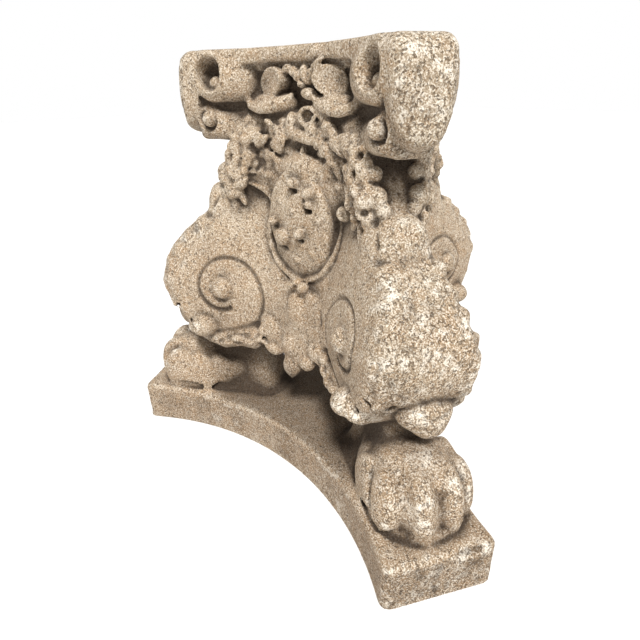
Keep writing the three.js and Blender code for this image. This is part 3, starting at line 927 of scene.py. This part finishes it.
SANDY = linear("#af9b82")
PALE = linear("#ad9e88")
BROWN = linear("#957b5f")
GRAIN_DARK = linear("#7f6c56")
GRAIN_PALE = linear("#ece2d2")
SHADE_AND_SOIL_BROWN = linear("#2e231a")
OCHRE = linear("#a5825a")
PORE = linear("#5e4d3b")
body = add("ShaderNodeMix", {"data_type": "RGBA"}, i0=rain_mark, i6=SANDY, i7=PALE).outputs[2]
height = add("ShaderNodeSeparateXYZ", Vector=spot).outputs["Z"]
low_down = add("ShaderNodeMapRange", Value=height, i1=0.05, i2=0.33, i3=0.65, i4=0.0).outputs["Result"]
body = add("ShaderNodeMix", {"data_type": "RGBA"}, i0=low_down, i6=body, i7=BROWN).outputs[2]
tint = add("ShaderNodeMapRange", Value=cloud, i1=0.40, i2=0.68, i3=0.0, i4=0.6).outputs["Result"]
body = add("ShaderNodeMix", {"data_type": "RGBA"}, i0=tint, i6=body, i7=BROWN).outputs[2]
# Convex edges are painted paler: part edge wear, part painted highlight.
rubbed_and_highlight = add("ShaderNodeMath", {"operation": "MULTIPLY"}, i0=rubbed_and_highlight_mark, i1=0.4).outputs[0]
body = add("ShaderNodeMix", {"data_type": "RGBA"}, i0=rubbed_and_highlight, i6=body, i7=PALE).outputs[2]
patch = add("ShaderNodeTexNoise", i0=spot, Scale=per_mm(15.0), Detail=4.0, Roughness=0.65).outputs["Fac"]
bleached = add("ShaderNodeMapRange", Value=patch, i1=0.53, i2=0.62, i3=0.0, i4=0.8).outputs["Result"]
bleached = add("ShaderNodeMath", {"operation": "MULTIPLY"}, i0=bleached, i1=rain_mark).outputs[0]
body = add("ShaderNodeMix", {"data_type": "RGBA"}, i0=bleached, i6=body, i7=GRAIN_PALE).outputs[2]
stained = add("ShaderNodeMapRange", Value=patch, i1=0.48, i2=0.34, i3=0.0, i4=0.45).outputs["Result"]
body = add("ShaderNodeMix", {"data_type": "RGBA"}, i0=stained, i6=body, i7=OCHRE).outputs[2]
grain_share = add("ShaderNodeMapRange", Value=rain_mark, i1=0.0, i2=1.0, i3=0.5, i4=0.64).outputs["Result"]
dark_grain = add("ShaderNodeMapRange", Value=grit, i1=0.50, i2=0.40, i3=0.0, i4=1.0).outputs["Result"]
dark_grain = add("ShaderNodeMath", {"operation": "MULTIPLY"}, i0=dark_grain, i1=grain_share).outputs[0]
body = add("ShaderNodeMix", {"data_type": "RGBA"}, i0=dark_grain, i6=body, i7=GRAIN_DARK).outputs[2]
pale_grain = add("ShaderNodeMapRange", Value=grit, i1=0.51, i2=0.61, i3=0.0, i4=1.0).outputs["Result"]
pale_grain = add("ShaderNodeMath", {"operation": "MULTIPLY"}, i0=pale_grain, i1=grain_share).outputs[0]
body = add("ShaderNodeMix", {"data_type": "RGBA"}, i0=pale_grain, i6=body, i7=GRAIN_PALE).outputs[2]
pore_stain = add("ShaderNodeMath", {"operation": "MULTIPLY"}, i0=pore, i1=0.7).outputs[0]
body = add("ShaderNodeMix", {"data_type": "RGBA"}, i0=pore_stain, i6=body, i7=PORE).outputs[2]
# The dirt mark darkens the stone towards a dark soil brown: part real dirt, part painted shade in creases,
# hollows and under overhangs.
soil_and_shade_share = add("ShaderNodeMath", {"operation": "MULTIPLY"}, i0=dirt_and_shade_mark, i1=0.9).outputs[0]
body = add("ShaderNodeMix", {"data_type": "RGBA"}, i0=soil_and_shade_share, i6=body, i7=SHADE_AND_SOIL_BROWN).outputs[2]
tree.links.new(body, shader.inputs["Base Color"])

fine = add("ShaderNodeMath", {"operation": "MULTIPLY"}, i0=grit, i1=0.7).outputs[0]
fine = add("ShaderNodeMath", {"operation": "MULTIPLY_ADD"}, i0=sand, i1=0.5, i2=fine).outputs[0]
fine = add("ShaderNodeMath", {"operation": "MULTIPLY_ADD"}, i0=pore, i1=-0.8, i2=fine).outputs[0]
bump = add("ShaderNodeBump", Strength=1.0, Distance=0.0014, Height=fine).outputs["Normal"]
tree.links.new(bump, shader.inputs["Normal"])

thinned.materials.clear()
thinned.materials.append(stone)
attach(carved, "root")
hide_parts("cast_stone_pedestal")

# Studio
# The pedestal stands on a wide sheet of matt white paper, too dull to show a glare, under a white sky and
# one soft lamp from above and to the front. The camera stands close to the near leg, at about the height
# of the slab.
floor_mesh = bpy.data.meshes.new("studio_floor")
floor_mesh.from_pydata([(-8, -8, 0), (8, -8, 0), (8, 8, 0), (-8, 8, 0)], [], [(0, 1, 2, 3)])
floor = bpy.data.objects.new("studio_floor", floor_mesh)
bpy.context.scene.collection.objects.link(floor)
paper = bpy.data.materials.new("white_studio_paper")
paper.use_nodes = True
paper.node_tree.nodes["Principled BSDF"].inputs["Base Color"].default_value = linear("#f4f3f1")
paper.node_tree.nodes["Principled BSDF"].inputs["Roughness"].default_value = 0.9
floor_mesh.materials.append(paper)

sky = bpy.data.worlds.new("studio_white")
sky.use_nodes = True
tree = sky.node_tree
tree.nodes["Background"].inputs["Color"].default_value = linear("#ffffff")
look = add("ShaderNodeTexCoord").outputs["Generated"]
look_up = add("ShaderNodeSeparateXYZ", Vector=look).outputs["Z"]
glow = add("ShaderNodeMapRange", Value=look_up, i1=0.14, i2=0.55, i3=1.0, i4=0.22).outputs["Result"]
tree.links.new(glow, tree.nodes["Background"].inputs["Strength"])
bpy.context.scene.world = sky

lamp = bpy.data.lights.new("soft_light_over", "SUN")
lamp.energy = 4.2
lamp.angle = 0.2
lamp_object = bpy.data.objects.new("soft_light_over", lamp)
lamp_object.rotation_euler = (math.radians(36.0), 0.0, math.radians(48.0))
bpy.context.scene.collection.objects.link(lamp_object)

bpy.context.scene.view_settings.view_transform = "Standard"
yaw = -0.7847
pitch = -0.4523
roll_angle = -0.0172
stand = (0.40405, -0.45605, 0.46585)
focal_pixels = 490.0
picture_pixels = 640
forward = np.array([
    math.sin(yaw) * math.cos(pitch), math.cos(yaw) * math.cos(pitch), math.sin(pitch)
])
right = np.array([math.cos(yaw), -math.sin(yaw), 0.0])
upward = np.cross(right, forward)
side_way = math.cos(roll_angle) * right + math.sin(roll_angle) * upward
up_way = -math.sin(roll_angle) * right + math.cos(roll_angle) * upward
camera = bpy.data.objects.new("camera", bpy.data.cameras.new("camera"))
camera.data.sensor_width = 36.0
camera.data.lens = focal_pixels / picture_pixels * camera.data.sensor_width
camera.data.clip_start = 0.01
camera_rows = [(side_way[k], up_way[k], -forward[k], stand[k]) for k in range(3)]
camera.matrix_world = Matrix((*camera_rows, (0, 0, 0, 1)))
bpy.context.scene.collection.objects.link(camera)
bpy.context.scene.camera = camera
